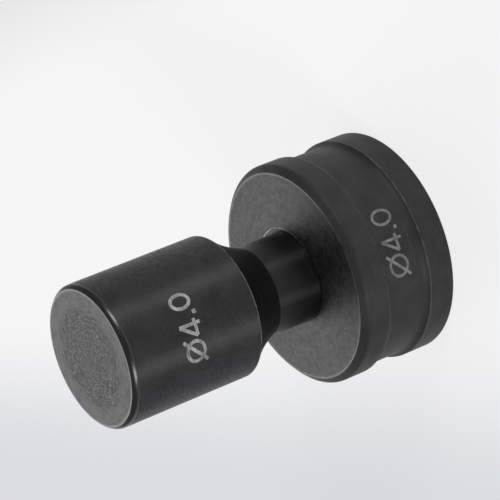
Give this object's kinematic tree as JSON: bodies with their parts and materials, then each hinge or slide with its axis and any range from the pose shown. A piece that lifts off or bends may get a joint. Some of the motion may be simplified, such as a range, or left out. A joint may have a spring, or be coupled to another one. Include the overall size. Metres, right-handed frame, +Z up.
{
  "type": "punch and die set",
  "caption": "Waisted round punch with a cylindrical shank standing nose down on a grooved round die, for making round holes in metal plate in a press.",
  "frame": {"origin": "centre of the die's back face, on which the set stands", "axes": "+Z up along the common axis of die and punch, from the die's back face to the punch's back face; the set is round, so +X and +Y are free, and the etched size marks are on the -Y side"},
  "size_m": [0.039, 0.039, 0.0602],
  "materials": {
    "punch_steel": "black oxide over turned tool steel, satin",
    "die_steel": "black oxide over turned tool steel, satin, cutting face blasted dull"
  },
  "bodies": {
    "die": {"die": "die_steel"},
    "punch": {"punch": "punch_steel"}
  },
  "joints": [
    {"name": "punch_stroke", "type": "slide", "parent": "die", "child": "punch", "axis": [0, 0, 1], "range_m": [0, 0.02]}
  ]
}
